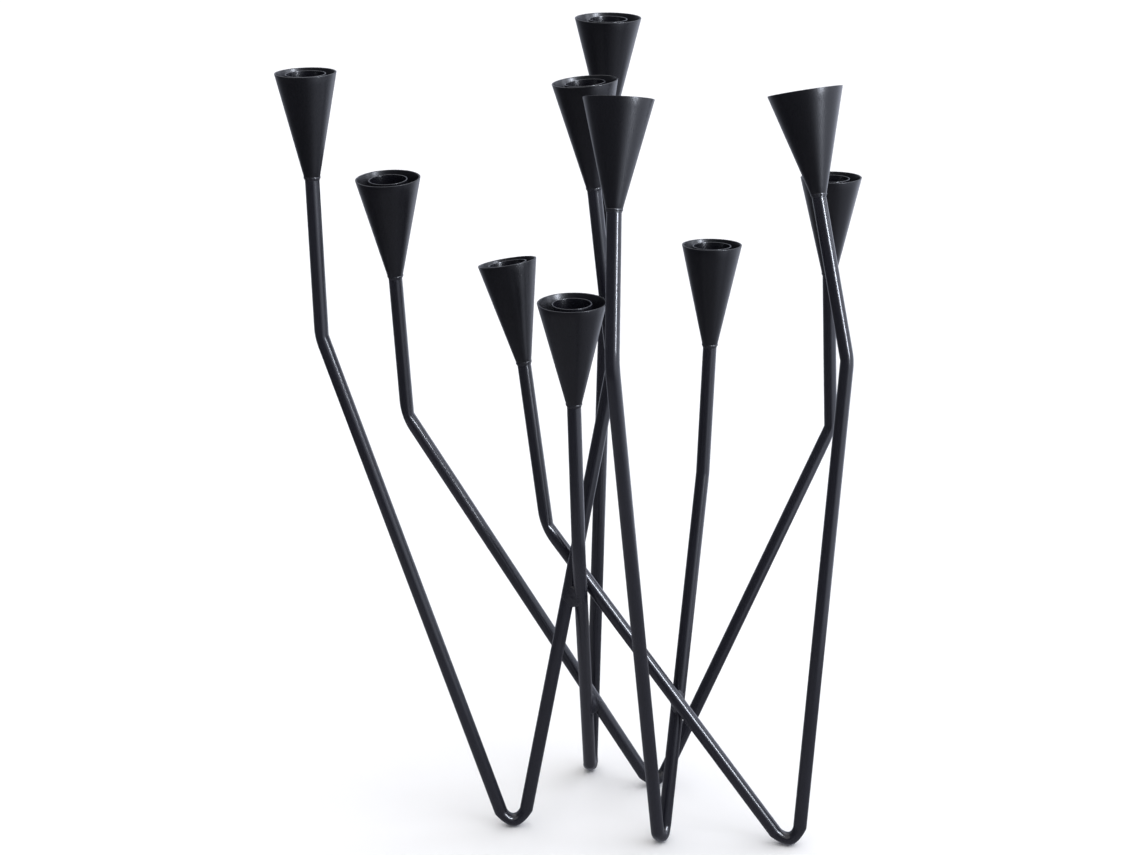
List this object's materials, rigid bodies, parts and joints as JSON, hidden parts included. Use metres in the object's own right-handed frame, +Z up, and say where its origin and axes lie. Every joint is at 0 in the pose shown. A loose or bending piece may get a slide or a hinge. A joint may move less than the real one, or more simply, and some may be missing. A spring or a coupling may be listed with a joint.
{
  "type": "tabletop candelabra",
  "caption": "Branching black steel candelabra: bent rods welded where they cross, each arm ending in a conical cup with a sleeve for a taper candle; stands on the rods' bottom bends.",
  "frame": {"origin": "centre of the footprint box, on the surface it stands on", "axes": "+Z up; +X to the right and -Y towards the viewer in the front view"},
  "size_m": [0.3596, 0.23, 0.5144],
  "materials": {
    "rod_black": "satin black powder coat on cold-bent round steel rod",
    "cup_black": "satin black powder coat on rolled sheet-steel cones",
    "sleeve_black": "satin black powder coat on thin steel tube",
    "weld_black": "weld beads under the same satin black powder coat"
  },
  "bodies": {
    "root": {"rod_left": "rod_black", "rod_right": "rod_black", "rod_wide": "rod_black", "rod_tall": "rod_black", "rod_front": "rod_black", "cup_left_high": "cup_black", "cup_centre_high": "cup_black", "cup_left_low": "cup_black", "cup_right_high": "cup_black", "cup_left_mid": "cup_black", "cup_right_mid": "cup_black", "cup_centre_low": "cup_black", "cup_centre_top": "cup_black", "cup_front_high": "cup_black", "cup_right_low": "cup_black", "sleeve_left_high": "sleeve_black", "sleeve_centre_high": "sleeve_black", "sleeve_left_low": "sleeve_black", "sleeve_right_high": "sleeve_black", "sleeve_left_mid": "sleeve_black", "sleeve_right_mid": "sleeve_black", "sleeve_centre_low": "sleeve_black", "sleeve_centre_top": "sleeve_black", "sleeve_front_high": "sleeve_black", "sleeve_right_low": "sleeve_black", "cup_welds": "weld_black", "weld_tall_left": "weld_black", "weld_left_right": "weld_black", "weld_right_front": "weld_black", "weld_tall_wide": "weld_black"}
  },
  "joints": []
}
